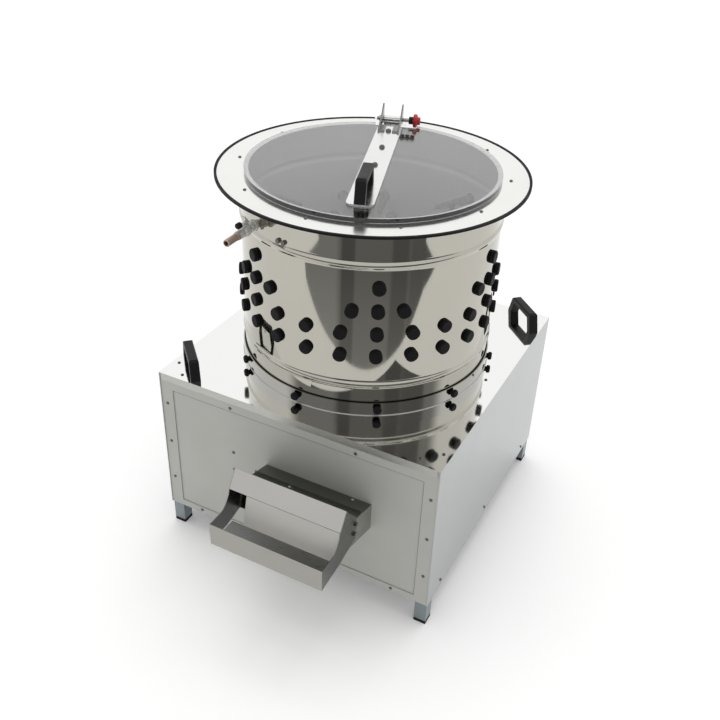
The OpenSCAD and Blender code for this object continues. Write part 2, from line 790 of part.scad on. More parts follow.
// A bridge handle: length along X, standing on z = 0
module bridge_handle() {
    foot = grip_len / 2;
    top = grip_top / 2;
    lean = (foot - top) / grip_h;
    inner_foot = foot - grip_bar - 1;
    inner_top = inner_foot - lean * (grip_h - grip_bar);
    intersection() {
        rotate([90, 0, 0]) translate([0, 0, -grip_w / 2]) linear_extrude(grip_w) polygon([
            [-foot, 0], [-inner_foot, 0], [-inner_top, grip_h - grip_bar], [inner_top, grip_h - grip_bar],
            [inner_foot, 0], [foot, 0], [foot - lean * (grip_h - grip_round), grip_h - grip_round],
            [top - grip_round, grip_h], [grip_round - top, grip_h],
            [lean * (grip_h - grip_round) - foot, grip_h - grip_round]
        ]);
        rotate([90, 0, 90]) translate([0, 0, -grip_len]) linear_extrude(2 * grip_len) {
            translate([-grip_w / 2, -1]) square([grip_w, grip_h - grip_round + 1]);
            translate([grip_round - grip_w / 2, 0]) square([grip_w - 2 * grip_round, grip_h + 1]);
            for (side = [-1, 1]) translate([side * (grip_w / 2 - grip_round), grip_h - grip_round])
                circle(r = grip_round);
        }
    }
}

module carry_handle(side) color(black) placed()
    translate([side * (cab_w / 2 - grip_inset), side * (cab_d / 2 - grip_inset), cab_h])
        rotate([0, 0, -45]) bridge_handle();

module carry_handle_front() carry_handle(-1);

module carry_handle_rear() carry_handle(1);

// Chute. Its hood leaves the front panel with an upward tilt, so its pieces share a tilted frame whose
// local -Y runs out along the hood and whose origin is the hood's lower edge at the panel.
module on_hood() translate([0, -front_face, chute_z]) rotate([-chute_tilt, 0, 0]) children();

module hood_bolt_sites() {
    for (side = [-1, 1], z = [0.5, 0.86]) on_hood()
        translate([chute_x + side * (chute_w / 2 + sheet), -hood_len + 16, z * chute_h])
            rotate([0, side * 90, 0]) children();
}

module hood_bolt_hole() translate([0, 0, -8]) cylinder(r = 2.5 + fix_gap, h = 12);

module chute_hood() color([0.45, 0.45, 0.44]) placed() difference() {
    on_hood() difference() {
        union() {
            block([arm_left, -hood_len, 0], [arm_right, 40, chute_h]);
            block([arm_left, -hood_lip - sheet, chute_h - sheet],
                  [arm_right, -hood_lip, chute_h + hood_lip_h]);
        }
        block([arm_left + sheet, -hood_len - 1, sheet], [arm_right - sheet, 41, chute_h - sheet]);
    }
    translate([-far / 2, -front_face, 0]) cube(far);
    hood_bolt_sites() hood_bolt_hole();
}

// Side outline of a guard arm, as distance in front of the cabinet and height over the hood's lower edge
arm_flap_high = [99, 124];
arm_flap_low = [120, 91];
arm_points = [
    [60, 76], [66, 86], [78, 99], [90, 112], arm_flap_high, arm_flap_low, [123, 80], [133, 66],
    [144, hem_up + 2], [150, hem_up], [guard_reach, hem_up], [guard_reach, hem_up - guard_h],
    [127, 23], [99, 42], [60, 38]
];

module arm_plate(x) translate([x, -cab_d / 2, chute_z]) rotate([90, 0, -90]) linear_extrude(sheet)
    polygon(arm_points);

module chute_guard() color(steel) placed() difference() {
    union() {
        arm_plate(arm_left);
        arm_plate(arm_right + sheet);
        block([arm_left - sheet, wall_y, hem_z - guard_h], [arm_right + sheet, wall_y + sheet, hem_z]);
        block([arm_left + hem_gap, wall_y, hem_z - sheet], [arm_right, wall_y + guard_hem, hem_z]);
    }
    hood_bolt_sites() hood_bolt_hole();
}

// The sloping cover plate between the arms
flap_run = arm_flap_low[0] - arm_flap_high[0];
flap_drop = arm_flap_high[1] - arm_flap_low[1];

module chute_flap() color(steel) placed()
    translate([0, -cab_d / 2 - arm_flap_high[0], chute_z + arm_flap_high[1]])
        rotate([atan2(flap_drop, flap_run), 0, 0])
            block([arm_left, -norm([flap_run, flap_drop]), -sheet], [arm_right, 0, 0]);

// The curtain plate hangs under the flap's lower edge, against the right arm
curtain_lean = 14;

module chute_curtain() color(steel) placed()
    translate([0, 1 - cab_d / 2 - arm_flap_low[0], chute_z + arm_flap_low[1] - sheet - 1])
        rotate([-curtain_lean, 0, 0])
            block([arm_left + curtain_gap, 0, -curtain_h], [arm_right, sheet, 0]);

module chute_bolts() color([0.3, 0.3, 0.3]) placed() hood_bolt_sites() {
    cylinder(r = 4.5, h = 3.5, $fn = 6);
    translate([0, 0, -6]) cylinder(r = 2.5, h = 7);
}

// Feather pan: a round tub with a floor that slopes down to the chute
pan_slope = atan2(pan_back_z - pan_front_z, 2 * pan_r);

module above_pan_floor(lift) translate([0, -pan_r, pan_front_z + lift]) rotate([pan_slope, 0, 0])
    block([-far, -far, 0], [far, far, far]);

module pan_inside(r, lift) intersection() {
    cylinder(r = r, h = pan_top + lift, $fn = 128);
    above_pan_floor(lift);
}

module outlet(wall) block([arm_left + sheet - wall, -front_in, chute_z + sheet - wall],
                          [arm_right - sheet + wall, -pan_r / 2, chute_z + chute_h - sheet + wall]);

module feather_pan() color(steel) placed() difference() {
    union() {
        difference() {
            pan_inside(pan_r, 0);
            pan_inside(pan_r - sheet, sheet);
        }
        difference() {
            outlet(sheet);
            outlet(0);
            cylinder(r = pan_r - sheet / 2, h = far, $fn = 128);
        }
    }
    intersection() {
        outlet(0);
        above_pan_floor(sheet);
    }
    cylinder(r = tube_r + fix_gap, h = far);
}

// Drive

module cross_rails() color([0.5, 0.5, 0.5]) placed() for (side = [-1, 1])
    translate([-side_in, side * rail_y - rail_w / 2, rail_z - rail_w]) difference() {
        cube([2 * side_in, rail_w, rail_w]);
        translate([-1, rail_wall, rail_wall])
            cube([2 * side_in + 2, rail_w - 2 * rail_wall, rail_w - 2 * rail_wall]);
    }

module bearing_tube() color([0.4, 0.42, 0.45]) placed() rotate_extrude() polygon([
    [shaft_r + 6, rail_z + bearing_h], [shaft_r + 6, tube_top - bearing_h],
    [bearing_r + shaft_gap, tube_top - bearing_h],
    [bearing_r + shaft_gap, tube_top], [tube_r, tube_top], [tube_r, rail_z + tube_flange_t],
    [tube_flange_r, rail_z + tube_flange_t], [tube_flange_r, rail_z], [bearing_r + shaft_gap, rail_z],
    [bearing_r + shaft_gap, rail_z + bearing_h]
]);

module shaft_bearings() color([0.7, 0.7, 0.72]) placed() for (z = [rail_z, tube_top - bearing_h])
    translate([0, 0, z]) difference() {
        cylinder(r = bearing_r, h = bearing_h);
        translate([0, 0, -1]) cylinder(r = shaft_r + shaft_gap, h = bearing_h + 2);
        for (end = [-1, 1]) translate([0, 0, bearing_h / 2 + end * bearing_h / 2 - 1]) difference() {
            cylinder(r = bearing_r - 4, h = 2);
            translate([0, 0, -1]) cylinder(r = shaft_r + 4, h = 4);
        }
    }

motor_at = [-sqrt(motor_dist * motor_dist - motor_rear * motor_rear), motor_rear, 0];

// The motor stands on a plate in the back left corner, with a flange down each panel
module motor_plate() color([0.5, 0.5, 0.5]) placed() difference() {
    union() {
        block([-side_in, motor_at[1] - motor_r - 4, motor_plate_z],
              [motor_at[0] + motor_r + 4, back_in, motor_z]);
        block([-side_in, motor_at[1] - motor_r - 4, motor_plate_z - motor_plate_side],
              [motor_plate_t - side_in, back_in, motor_z]);
        block([-side_in, back_in - motor_plate_t, motor_plate_z - motor_plate_side],
              [motor_at[0] + motor_r + 4, back_in, motor_z]);
    }
    block([-side_in - 1, back_in - leg_w - 1, 0], [leg_w + 1 - side_in, back_in + 1, cab_h]);
    translate([motor_at[0], motor_at[1], 0]) cylinder(r = motor_shaft_r + 10, h = far);
}

module motor() color(paint) placed() translate([motor_at[0], motor_at[1], motor_z]) difference() {
    rotate_extrude() polygon(concat(
        [[0, 0], [motor_r - 4, 0], [motor_r - 4, 14]],
        [for (i = [0:9], step = [0, 0.5])
            [motor_r - (step == 0 ? 0 : 3), 16 + (motor_h - 50) * (i + step) / 10]],
        [[motor_r - 2, motor_h - 30], [motor_r - 2, motor_h - 6], [motor_r - 8, motor_h], [0, motor_h]]
    ));
    translate([0, 0, -1]) cylinder(r = motor_shaft_r + shaft_gap, h = 46);
}

// A flat belt pulley: running face between two side flanges
module pulley(face_r, bore_r, web) {
    hub = bore_r + 9;
    rim_in = face_r - 8;
    mid = pulley_w / 2;
    rotate_extrude($fn = 128) difference() {
        union() {
            square([face_r, pulley_w]);
            square([face_r + pulley_lip, (pulley_w - belt_w) / 2 - belt_gap]);
            translate([0, (pulley_w + belt_w) / 2 + belt_gap])
                square([face_r + pulley_lip, (pulley_w - belt_w) / 2 - belt_gap]);
        }
        square([2 * bore_r, 3 * pulley_w], center = true);
        if (web > 0 && rim_in > hub + 10) {
            translate([hub, -1]) square([rim_in - hub, mid - web / 2 + 1]);
            translate([hub, mid + web / 2]) square([rim_in - hub, mid]);
        }
    }
}

module rotor_shaft() color(steel) placed() translate([0, 0, shaft_low])
    cylinder(r = shaft_r, h = plate_z - shaft_low);

module driven_pulley() color([0.45, 0.46, 0.48]) placed() translate([0, 0, pulley_z]) difference() {
    pulley(big_r, shaft_r + shaft_gap, web_t);
    hole_at = (big_r - 8 + shaft_r + 9) / 2;
    for (i = [0:5]) around(i * 60) translate([0, hole_at, -1]) cylinder(r = 0.3 * hole_at, h = pulley_w + 2);
}

module motor_rotor() color(steel) placed() translate([motor_at[0], motor_at[1], 0]) {
    translate([0, 0, pulley_z - 4]) cylinder(r = motor_shaft_r, h = motor_z + 40 - pulley_z);
    translate([0, 0, pulley_z]) pulley(small_r, motor_shaft_r - 1, 0);
}

module belt_loop(grow) hull() {
    circle(r = big_r + belt_gap + grow, $fn = 96);
    translate([motor_at[0], motor_at[1]]) circle(r = small_r + belt_gap + grow, $fn = 48);
}

module drive_belt() color(black) placed() translate([0, 0, belt_z]) linear_extrude(belt_w) difference() {
    belt_loop(belt_t);
    belt_loop(0);
}

// Finger plate at the foot of the drum

module plate_finger_sites() {
    for (ring = plate_fingers, i = [0:ring[1] - 1])
        around(i * 360 / ring[1] + ring[0]) translate([0, -ring[0], 0]) children();
}

module rotor_plate() color(polished) placed() translate([0, 0, plate_z]) difference() {
    cylinder(r = plate_r, h = plate_t, $fn = 128);
    plate_finger_sites() translate([0, 0, -1]) cylinder(r = neck_r + fix_gap, h = plate_t + 2, $fn = 32);
}

module rotor_fingers() color(black) placed() translate([0, 0, plate_z]) plate_finger_sites()
    rotate([180, 0, 0]) finger(plate_t, 0);

module rotor_hub() color([0.45, 0.46, 0.48]) placed() translate([0, 0, hub_z]) difference() {
    union() {
        cylinder(r = hub_r, h = hub_h);
    }
    translate([0, 0, -1]) cylinder(r = shaft_r + shaft_gap, h = hub_h + 2);
}

// Lid, drawn in the frame of the strap

module strap_screw_sites(z) {
    for (y = strap_screw_ys) translate([0, y, z]) children();
}

module lid_disc() color([0.55, 0.55, 0.58, 0.6]) placed() difference() {
    translate([0, 0, lid_z]) cylinder(r = lid_r, h = lid_t, $fn = 128);
    on_strap() block([-notch_left, notch_back, 0], [notch_right, far, far]);
    on_strap() strap_screw_sites(0) cylinder(r = 3 + fix_gap, h = far);
}

module lid_strap() color(polished) placed() on_strap() difference() {
    translate([0, 0, lid_top]) linear_extrude(strap_t) {
        translate([-strap_w / 2, strap_round - strap_front])
            square([strap_w, strap_front + strap_back - strap_round]);
        translate([strap_round - strap_w / 2, -strap_front]) square([strap_w - 2 * strap_round, strap_front]);
        for (side = [-1, 1]) translate([side * (strap_w / 2 - strap_round), strap_round - strap_front])
            circle(r = strap_round);
    }
    strap_screw_sites(0) cylinder(r = 3 + fix_gap, h = far);
}

module lid_handle() color(black) placed() on_strap() translate([0, grip_lid_y, strap_z])
    rotate([0, 0, 90]) bridge_handle();

// Dome screws through the strap and the lid, each with a nut below
module strap_screws() color([0.5, 0.5, 0.5]) placed() on_strap() strap_screw_sites(strap_z) {
    rotate_extrude() polygon([[0, 0], [5.5, 0], [5.5, 1.5], [4.6, 3.6], [2.6, 5], [0, 5.5]]);
    translate([0, 0, -strap_t - lid_t - 5]) cylinder(r = 3, h = strap_t + lid_t + 5.5);
    translate([0, 0, -strap_t - lid_t - 4]) cylinder(r = 5.5, h = 4, $fn = 6);
}

// Upright ears on the back of the strap, which carry the pin
module lid_ears() color(polished) placed() difference() {
    on_strap() for (side = [-1, 1]) {
        translate([side * ear_x + ear_t / 2, 0, 0]) rotate([90, 0, -90]) linear_extrude(ear_t) {
            polygon([
                [-ear_front, strap_z], [-ear_front, strap_z + 5], [-strap_back - 8, strap_z + 17],
                [-pin_back - 1, pin_z + ear_up], [-pin_back - 6, pin_z + ear_up], [-pin_back - 8, pin_z],
                [-pin_back, strap_z], [-strap_back, strap_z]
            ]);
            translate([-pin_back, pin_z]) circle(r = ear_low_r);
        }
        block([min(side * (ear_x - ear_foot_w), side * ear_x), ear_front, strap_z],
              [max(side * (ear_x - ear_foot_w), side * ear_x), strap_back - 1, strap_z + ear_t]);
    }
    along_pin(-far / 2) cylinder(r = pin_r + shaft_gap, h = far);
}

module hinge_pin() color([0.4, 0.4, 0.4]) placed() {
    along_pin(-32) cylinder(r = pin_r, h = knob_from + 32 + knob_disc);
    along_pin(-ear_x - ear_t / 2 - 6) cylinder(r = 6.5, h = 5, $fn = 6);
}

module hinge_spacer() color([0.2, 0.2, 0.17]) placed() difference() {
    along_pin(spacer_from) cylinder(r = spacer_r, h = spacer_len);
    along_pin(spacer_from - 1) cylinder(r = pin_r + shaft_gap, h = spacer_len + 2);
}

module hinge_knob() color([0.55, 0.05, 0.10]) placed() difference() {
    union() {
        along_pin(knob_from) rotate_extrude() polygon([
            [0, 0], [knob_r - 1.5, 0], [knob_r, 1.5], [knob_r, knob_disc - 2], [knob_r - 2, knob_disc],
            [0.62 * knob_r, knob_disc + 0.5], [0.55 * knob_r, knob_disc + knob_cap],
            [0, knob_disc + knob_cap + 1]
        ]);
    }
    along_pin(0) cylinder(r = pin_r + shaft_gap, h = knob_from + knob_disc + 0.5);
}

// A small plate with bolts on the lid, beside the strap
module sensor_plate() color(polished) placed() on_strap() translate([sensor_at[0], sensor_at[1], lid_top]) {
    cube(sensor_size);
    for (i = [0:2]) translate([4.5 + 10 * i, sensor_size[1] / 2, sensor_size[2] - 0.5])
        cylinder(r = 3.5, h = 4, $fn = 6);
}

// Switch box on the back panel
button_ups = [22, -24];
button_well = 14;

module switch_box() color([0.75, 0.76, 0.74]) placed() difference() {
    translate([switch_x, frame_face, switch_z]) rotate([-90, 0, 0]) linear_extrude(switch_d + sheet) {
        square([switch_w - 10, switch_h], center = true);
        square([switch_w, switch_h - 10], center = true);
        for (sx = [-1, 1], sz = [-1, 1])
            translate([sx * (switch_w / 2 - 5), sz * (switch_h / 2 - 5)]) circle(r = 5);
    }
    for (up = button_ups) translate([switch_x, lip_face + switch_d - button_well, switch_z + up])
        rotate([-90, 0, 0]) cylinder(r = button_r + run_gap, h = button_well + 1);
}

module cable_gland() color(black) placed()
    translate([switch_x, lip_face + switch_d / 2, switch_z - switch_h / 2]) {
        translate([0, 0, -9]) cylinder(r = 11, h = 9, $fn = 6);
        translate([0, 0, -20]) cylinder(r = 8.5, h = 12);
    }

module button(up) placed()
    translate([switch_x, lip_face + switch_d + button_out, switch_z + up]) rotate([90, 0, 0])
        rotate_extrude() polygon([
            [0, 0], [button_r - 1.5, 0], [button_r, 1.5],
            [button_r, button_out + button_well - button_travel - 1],
            [0, button_out + button_well - button_travel - 1]
        ]);

module start_button() color([0.10, 0.50, 0.20]) button(button_ups[0]);

module stop_button() color([0.70, 0.08, 0.08]) button(button_ups[1]);

legs();
foot_caps();
top_cover();
left_panel();
right_panel();
back_panel();
front_frame();
front_panel();
cabinet_screws();
drum_collar();
drum_seal();
drum_buffers();
buffer_studs();
drum_shell();
lower_fingers();
upper_fingers();
drum_bolts();
drum_rim();
rim_trim();
rim_screws();
hinge_leaf();
inlet_socket();
valve_body();
hose_tail();
carry_handle_front();
carry_handle_rear();
chute_hood();
chute_flap();
chute_guard();
chute_curtain();
chute_bolts();
feather_pan();
cross_rails();
bearing_tube();
shaft_bearings();
motor_plate();
motor();
drive_belt();
switch_box();
cable_gland();
lid_disc();
lid_strap();
lid_handle();
strap_screws();
lid_ears();
hinge_pin();
hinge_spacer();
hinge_knob();
sensor_plate();
rotor_plate();
rotor_fingers();
rotor_hub();
rotor_shaft();
driven_pulley();
motor_rotor();
valve_lever();
lever_grip();
start_button();
stop_button();
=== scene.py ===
"""Looks of a drum poultry plucker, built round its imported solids. Metres, floor at z = 0, front at -Y."""

import math

import bpy
from mathutils import Euler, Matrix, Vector


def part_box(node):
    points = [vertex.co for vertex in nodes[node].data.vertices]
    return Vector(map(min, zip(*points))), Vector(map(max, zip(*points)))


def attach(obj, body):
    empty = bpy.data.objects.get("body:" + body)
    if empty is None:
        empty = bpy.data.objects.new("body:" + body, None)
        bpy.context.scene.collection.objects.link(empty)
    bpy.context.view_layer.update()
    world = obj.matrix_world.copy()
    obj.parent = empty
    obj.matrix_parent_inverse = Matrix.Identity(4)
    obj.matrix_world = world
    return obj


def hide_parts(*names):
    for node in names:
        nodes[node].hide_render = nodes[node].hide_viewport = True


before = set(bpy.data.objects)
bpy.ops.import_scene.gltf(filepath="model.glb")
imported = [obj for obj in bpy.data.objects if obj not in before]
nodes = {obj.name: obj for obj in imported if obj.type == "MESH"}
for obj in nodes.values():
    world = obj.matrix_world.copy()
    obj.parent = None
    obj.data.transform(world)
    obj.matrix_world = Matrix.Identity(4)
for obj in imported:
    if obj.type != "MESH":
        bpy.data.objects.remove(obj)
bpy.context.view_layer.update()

MM = 0.001

# Camera, solved from the photograph's corners and circles
CAMERA_PLACE = (0.69220, -1.35393, 1.38927)
CAMERA_TURN = (56.5383, -1.9101, 27.6534)
CAMERA_LENS = 45.0045
CAMERA_SENSOR = 36.0

# Studio: the paper floor ends a little before the machine, and further out at the sides, so that bright steel
# mirrors the room too. Lengths from the drum's axis along and across the camera's heading.
WORLD_LEVEL = 0.70
SUN_LEVEL = 0.96
SUN_SPREAD = 42.0
SUN_FROM = (-0.12, 0.45, 2.0)
FLOOR_SIDE = 16.0
FLOOR_WING = 1.30
FLOOR_FRONT = [
    (-1.17, FLOOR_WING), (-1.29, 0.92), (-1.14, 0.87), (-0.50, 0.96),
    (0.50, 0.98), (0.96, 1.03), (1.26, 0.94), (1.19, FLOOR_WING),
]
FLOOR_COLOUR = (0.93, 0.93, 0.925)
FLOOR_GLOW = 0.15
DRUM_AXIS = (0.0, 64.5 * MM)

# Dim parts of the room in mirrors: heading from the camera's side in degrees, half width of the core and of
# the soft edge, and the share of light that is missing. Heights are those of the unit sphere: the dim parts
# lie below the horizon, where they grow weaker downwards, and again in a band over the camera.
DIM_PARTS = [
    (0.0, 64.0, 80.0, 0.71),
    (14.0, 39.0, 45.0, 0.36),
    (-19.5, 4.5, 7.0, 0.40),
    (25.0, 5.5, 9.0, 0.36),
    (45.0, 9.0, 13.0, 0.25),
]
DIM_LOW = (0.02, 0.20)
DIM_BAND = (0.46, 0.54)
DIM_BAND_END = (0.72, 0.85)
DIM_DEEP = -0.60
DIM_FULL = -0.46
DIM_DEEP_SHARE = 0.72


# Shader helpers


def new_material(name, colour, metallic, roughness):
    """A material with its shader's constant values set. Returns it with its node tree and shader."""
    material = bpy.data.materials.new(name)
    material.use_nodes = True
    tree = material.node_tree
    shader = tree.nodes["Principled BSDF"]
    shader.inputs["Base Color"].default_value = (*colour, 1.0)
    shader.inputs["Metallic"].default_value = metallic
    shader.inputs["Roughness"].default_value = roughness
    return material, tree, shader


def math_node(tree, operation, first, second=None):
    """Result of a math node on one or two values, each a number or a socket."""
    node = tree.nodes.new("ShaderNodeMath")
    node.operation = operation
    for socket, value in zip(node.inputs, (first, second)):
        if value is None:
            continue
        if isinstance(value, (int, float)):
            socket.default_value = value
        else:
            tree.links.new(value, socket)
    return node.outputs["Value"]


def spread_node(tree, value, start, end, first, last, smooth=False):
    """Value from start to end, spread from first to last and held beyond."""
    spread = tree.nodes.new("ShaderNodeMapRange")
    spread.interpolation_type = "SMOOTHSTEP" if smooth else "LINEAR"
    spread.inputs["From Min"].default_value = start
    spread.inputs["From Max"].default_value = end
    spread.inputs["To Min"].default_value = first
    spread.inputs["To Max"].default_value = last
    tree.links.new(value, spread.inputs["Value"])
    return spread.outputs["Result"]


def noise(tree, scale, stretch=(1.0, 1.0, 1.0), detail=3.0):
    """Noise in the object's own coordinates, drawn out along an axis by a small factor there."""
    place = tree.nodes.new("ShaderNodeTexCoord")
    mapping = tree.nodes.new("ShaderNodeMapping")
    mapping.inputs["Scale"].default_value = stretch
    tree.links.new(place.outputs["Object"], mapping.inputs["Vector"])
    texture = tree.nodes.new("ShaderNodeTexNoise")
    texture.inputs["Scale"].default_value = scale
    texture.inputs["Detail"].default_value = detail
    tree.links.new(mapping.outputs["Vector"], texture.inputs["Vector"])
    return texture.outputs["Fac"]


def vary_roughness(tree, shader, value, low, high):
    """Roughness between low and high by a noise value."""
    tree.links.new(spread_node(tree, value, 0.3, 0.7, low, high), shader.inputs["Roughness"])


def vary_colour(tree, shader, value, dark, light):
    """Base colour between two tones by a noise value."""
    ramp = tree.nodes.new("ShaderNodeValToRGB")
    ramp.color_ramp.elements[0].position = 0.3
    ramp.color_ramp.elements[0].color = (*dark, 1.0)
    ramp.color_ramp.elements[1].position = 0.7
    ramp.color_ramp.elements[1].color = (*light, 1.0)
    tree.links.new(value, ramp.inputs["Fac"])
    tree.links.new(ramp.outputs["Color"], shader.inputs["Base Color"])


def add_bump(tree, shader, value, strength, depth):
    """Surface relief of the given depth in metres by a noise value."""
    bump = tree.nodes.new("ShaderNodeBump")
    bump.inputs["Strength"].default_value = strength
    bump.inputs["Distance"].default_value = depth
    tree.links.new(value, bump.inputs["Height"])
    tree.links.new(bump.outputs["Normal"], shader.inputs["Normal"])


def scaled(colour, factor):
    """A colour times a factor, held at white."""
    return tuple(min(1.0, c * factor) for c in colour)


# Kinds of material
LID_INDEX = 1.70
SQUARE_SHARE = 0.5


def sheet_metal(name, colour, rough, grain, stretch=(1.0, 1.0, 1.0), ripple=0.0, spread=0.06, metallic=1.0):
    """Rolled sheet: fine brushed grain in roughness, faint tone changes, and slow waves in the mirror."""
    material, tree, shader = new_material(name, colour, metallic, rough)
    brushed = noise(tree, grain, stretch, 5.0)
    vary_roughness(tree, shader, brushed, rough * 0.85, rough * 1.2)
    tones = noise(tree, 9.0, (1.0, 1.0, 1.0), 4.0)
    vary_colour(tree, shader, tones, scaled(colour, 1.0 - spread), scaled(colour, 1.0 + spread))
    if ripple > 0.0:
        add_bump(tree, shader, noise(tree, 7.0, stretch, 1.0), 1.0, ripple)
    return material


def two_faced(name, axis, faced, faced_rough, other, other_rough):
    """Folded sheet with one finish on faces square to an axis and another on the rest; on the guard and hood
    the darker tone of the rest is painted shade.
    """
    material, tree, shader = new_material(name, faced, 1.0, faced_rough)
    shape = tree.nodes.new("ShaderNodeNewGeometry")
    split = tree.nodes.new("ShaderNodeSeparateXYZ")
    tree.links.new(shape.outputs["True Normal"], split.inputs["Vector"])
    square = math_node(tree, "GREATER_THAN", math_node(tree, "ABSOLUTE", split.outputs[axis]), SQUARE_SHARE)
    tones = tree.nodes.new("ShaderNodeMixRGB")
    tones.inputs["Color1"].default_value = (*other, 1.0)
    tones.inputs["Color2"].default_value = (*faced, 1.0)
    tree.links.new(square, tones.inputs["Fac"])
    tree.links.new(tones.outputs["Color"], shader.inputs["Base Color"])
    rough = spread_node(tree, square, 0.0, 1.0, other_rough, faced_rough)
    grain = spread_node(tree, noise(tree, 700.0, ALONG_X, 5.0), 0.3, 0.7, 0.85, 1.2)
    tree.links.new(math_node(tree, "MULTIPLY", rough, grain), shader.inputs["Roughness"])
    return material


def moulded(name, colour, rough, grain=900.0, relief=0.00004, gloss=0.5):
    """Moulded plastic or rubber with a fine skin and dusty patches."""
    material, tree, shader = new_material(name, colour, 0.0, rough)
    shader.inputs["Specular IOR Level"].default_value = gloss
    skin = noise(tree, grain, (1.0, 1.0, 1.0), 2.0)
    add_bump(tree, shader, skin, 0.5, relief)
    patches = noise(tree, 40.0, (1.0, 1.0, 1.0), 3.0)
    vary_roughness(tree, shader, patches, rough * 0.85, rough * 1.15)
    vary_colour(tree, shader, patches, scaled(colour, 0.85), scaled(colour, 1.2))
    return material


def smoked_sheet(name, colour):
    """Smoked clear plastic with glossy faces and faint smears."""
    material, tree, shader = new_material(name, colour, 0.0, 0.03)
    shader.inputs["IOR"].default_value = LID_INDEX
    shader.inputs["Transmission Weight"].default_value = 1.0
    smears = noise(tree, 60.0, (1.0, 0.2, 1.0), 4.0)
    vary_roughness(tree, shader, smears, 0.02, 0.05)
    clouds = noise(tree, 5.0, (1.0, 1.0, 1.0), 2.0)
    vary_colour(tree, shader, clouds, scaled(colour, 0.98), scaled(colour, 1.02))
    return material


# Materials: grain drawn out along an axis, and the plain satin tone of folded edges
ALONG_X = (0.04, 1.0, 1.0)
ALONG_Y = (1.0, 0.04, 1.0)
ALONG_Z = (1.0, 1.0, 0.06)
SATIN = (0.50, 0.50, 0.465)

cover_steel = two_faced("cover_steel", "Z", (0.90, 0.90, 0.885), 0.06, SATIN, 0.40)
drum_steel = sheet_metal("drum_steel", (0.45, 0.436, 0.386), 0.05, 220.0, ALONG_Z, 0.0002, 0.02)
lining_steel = sheet_metal("lining_steel", (0.92, 0.915, 0.90), 0.34, 300.0, ALONG_Z, 0.0, 0.02, 0.15)
collar_steel = sheet_metal("collar_steel", (0.44, 0.43, 0.40), 0.09, 220.0, ALONG_Z, 0.00015, 0.03)
rim_steel = sheet_metal("rim_steel", (0.88, 0.88, 0.855), 0.16, 300.0, spread=0.02)
strap_steel = sheet_metal("strap_steel", (0.84, 0.84, 0.83), 0.20, 500.0, ALONG_Y, spread=0.03)
hinge_steel = sheet_metal("hinge_steel", (0.22, 0.217, 0.205), 0.26, 500.0, spread=0.10)
panel_steel = sheet_metal("panel_steel", (0.50, 0.50, 0.468), 0.50, 900.0, ALONG_X, 0.0, 0.03, 0.1)
side_steel = sheet_metal("side_steel", (0.42, 0.438, 0.438), 0.22, 900.0, ALONG_Y, 0.0, 0.03)
leg_steel = sheet_metal("leg_steel", (0.25, 0.285, 0.30), 0.30, 500.0, ALONG_Z)
flap_steel = sheet_metal("flap_steel", (0.54, 0.53, 0.50), 0.36, 900.0, ALONG_X, 0.0, 0.03, 0.15)
curtain_steel = sheet_metal("curtain_steel", (0.68, 0.67, 0.63), 0.36, 900.0, ALONG_X, 0.0, 0.03, 0.15)
# Painted shade: the guard's arms and hem take a darker tone than its front wall, standing in for the dark
# surroundings they mirror.
guard_shaded_steel = two_faced("guard_shaded_steel", "Y", (0.37, 0.365, 0.335), 0.38, (0.19, 0.192, 0.186), 0.30)
# Painted shade: the hood's top and front take a darker tone than its end faces, standing in for the shade and
# the dark surroundings they mirror.
hood_shaded_steel = two_faced("hood_shaded_steel", "X", (0.40, 0.40, 0.375), 0.36, (0.20, 0.205, 0.19), 0.40)
screw_steel = sheet_metal("screw_steel", (0.42, 0.42, 0.40), 0.24, 900.0)
dark_screw = sheet_metal("dark_screw", (0.15, 0.145, 0.135), 0.34, 900.0)
machine_steel = sheet_metal("machine_steel", (0.50, 0.50, 0.49), 0.34, 700.0)
valve_metal = sheet_metal("valve_metal", (0.66, 0.65, 0.62), 0.36, 120.0, spread=0.03, metallic=0.4)
brass = sheet_metal("hose_brass", (0.50, 0.38, 0.31), 0.40, 120.0, spread=0.06, metallic=0.7)
cast_metal = moulded("cast_metal", (0.20, 0.20, 0.205), 0.62, 300.0, 0.0002)
motor_paint = moulded("motor_paint", (0.09, 0.12, 0.16), 0.42, 500.0, 0.0001)
rubber = moulded("black_rubber", (0.0065, 0.0068, 0.0068), 0.60, 700.0, 0.00006, 0.16)
belt_rubber = moulded("belt_rubber", (0.014, 0.014, 0.014), 0.70, 900.0, 0.0001, 0.3)
black_plastic = moulded("black_plastic", (0.0065, 0.0065, 0.0072), 0.40, 900.0, 0.00003, 0.22)
dark_gap = moulded("dark_gap", (0.15, 0.15, 0.142), 0.7, 900.0, 0.00002, 0.2)
red_plastic = moulded("red_plastic", (0.50, 0.016, 0.020), 0.34)
green_plastic = moulded("green_plastic", (0.02, 0.30, 0.07), 0.34)
grey_plastic = moulded("grey_plastic", (0.34, 0.35, 0.36), 0.45)
lid_plastic = smoked_sheet("smoked_sheet", (0.79, 0.79, 0.795))

